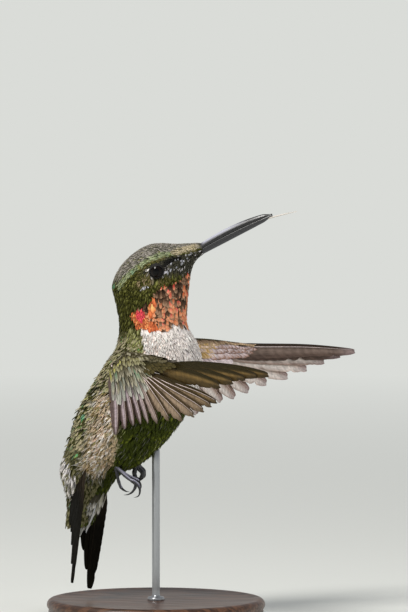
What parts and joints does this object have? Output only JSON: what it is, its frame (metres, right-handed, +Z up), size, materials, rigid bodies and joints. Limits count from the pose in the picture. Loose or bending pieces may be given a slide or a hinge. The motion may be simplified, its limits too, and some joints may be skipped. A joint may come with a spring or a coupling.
{
  "type": "ruby-throated hummingbird model on a display stand",
  "caption": "Life-size still model of an adult male ruby-throated hummingbird, hovering upright with its wings swept forward, held over a plain round base by a thin rod.",
  "frame": {"origin": "centre of the underside of the round base, on the axis of the rod", "axes": "+Z up, +X the way the bird faces, +Y the bird's left"},
  "size_m": [0.0522, 0.0728, 0.0792],
  "materials": {
    "plumage": "overlapping body feathers, green above with metallic glints, an orange-red throat and a pale breast",
    "flight_feathers": "thin brown vanes with pale shafts and a faint violet sheen",
    "tail_feathers": "blackish brown vanes",
    "bill": "satin black horn",
    "tongue": "pale, moist",
    "eye": "glossy black-brown",
    "foot": "dark scaly skin and black claws",
    "stand_wood": "oiled dark walnut",
    "stand_steel": "fine brushed steel rod"
  },
  "bodies": {
    "root": {"head": "plumage", "neck": "plumage", "trunk": "plumage", "rump": "plumage", "undertail_coverts": "plumage", "wing_right_arm": "plumage", "wing_left_arm": "plumage", "wing_right_outer_primaries": "flight_feathers", "wing_right_inner_primaries": "flight_feathers", "wing_right_secondaries": "flight_feathers", "wing_left_outer_primaries": "flight_feathers", "wing_left_inner_primaries": "flight_feathers", "wing_left_secondaries": "flight_feathers", "tail_right": "tail_feathers", "tail_left": "tail_feathers", "bill_upper": "bill", "bill_lower": "bill", "tongue": "tongue", "eye_right": "eye", "eye_left": "eye", "foot_right": "foot", "foot_left": "foot", "stand_base": "stand_wood", "stand_rod": "stand_steel"}
  },
  "joints": []
}
